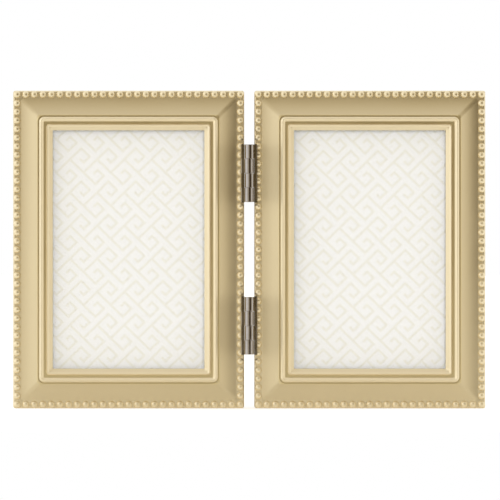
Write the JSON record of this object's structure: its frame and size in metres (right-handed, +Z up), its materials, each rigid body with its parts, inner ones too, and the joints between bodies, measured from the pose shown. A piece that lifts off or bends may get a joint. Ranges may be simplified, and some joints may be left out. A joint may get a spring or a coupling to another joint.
{
  "type": "hinged double photo frame",
  "caption": "Hinged double photo frame: upright beaded gold-tone metal leaves with scooped mouldings, glazed portrait openings and slide-out velvet backs, folding face to face.",
  "frame": {"origin": "middle of the bottom edges, under the middle of the depth, with both leaves level", "axes": "+Z up, +X to the viewer's right along both leaves, and the faces look along -Y"},
  "size_m": [0.1384, 0.013, 0.0931],
  "materials": {
    "satin_gold_metal": "satin lacquered plating",
    "picture_glass": "polished",
    "printed_card": "matte print",
    "grey_board": "raw",
    "hardboard": "pressed fibre",
    "black_velvet": "short pile",
    "dark_hinge_steel": "dark nickel",
    "rivet_steel": "satin"
  },
  "bodies": {
    "left_leaf": {"left_frame_shell": "satin_gold_metal", "left_glass_pane": "picture_glass", "left_insert_card": "printed_card", "left_filler_pad": "grey_board", "upper_hinge_left_plate": "dark_hinge_steel", "upper_hinge_left_rivets": "rivet_steel", "lower_hinge_left_plate": "dark_hinge_steel", "lower_hinge_left_rivets": "rivet_steel", "upper_hinge_pin": "dark_hinge_steel", "lower_hinge_pin": "dark_hinge_steel"},
    "left_back": {"left_back_board": "hardboard", "left_velvet_cover": "black_velvet"},
    "right_leaf": {"right_frame_shell": "satin_gold_metal", "right_glass_pane": "picture_glass", "right_insert_card": "printed_card", "right_filler_pad": "grey_board", "upper_hinge_right_plate": "dark_hinge_steel", "upper_hinge_right_rivets": "rivet_steel", "lower_hinge_right_plate": "dark_hinge_steel", "lower_hinge_right_rivets": "rivet_steel"},
    "right_back": {"right_back_board": "hardboard", "right_velvet_cover": "black_velvet"}
  },
  "joints": [
    {"name": "fold", "type": "hinge", "parent": "left_leaf", "child": "right_leaf", "pos_m": [0, -0.00513, 0.04655], "axis": [0, 0, -1], "range_deg": [-10, 180]},
    {"name": "left_back_slide", "type": "slide", "parent": "left_leaf", "child": "left_back", "axis": [0, 0, 1], "range_m": [0, 0.088]},
    {"name": "right_back_slide", "type": "slide", "parent": "right_leaf", "child": "right_back", "axis": [0, 0, 1], "range_m": [0, 0.088]}
  ]
}
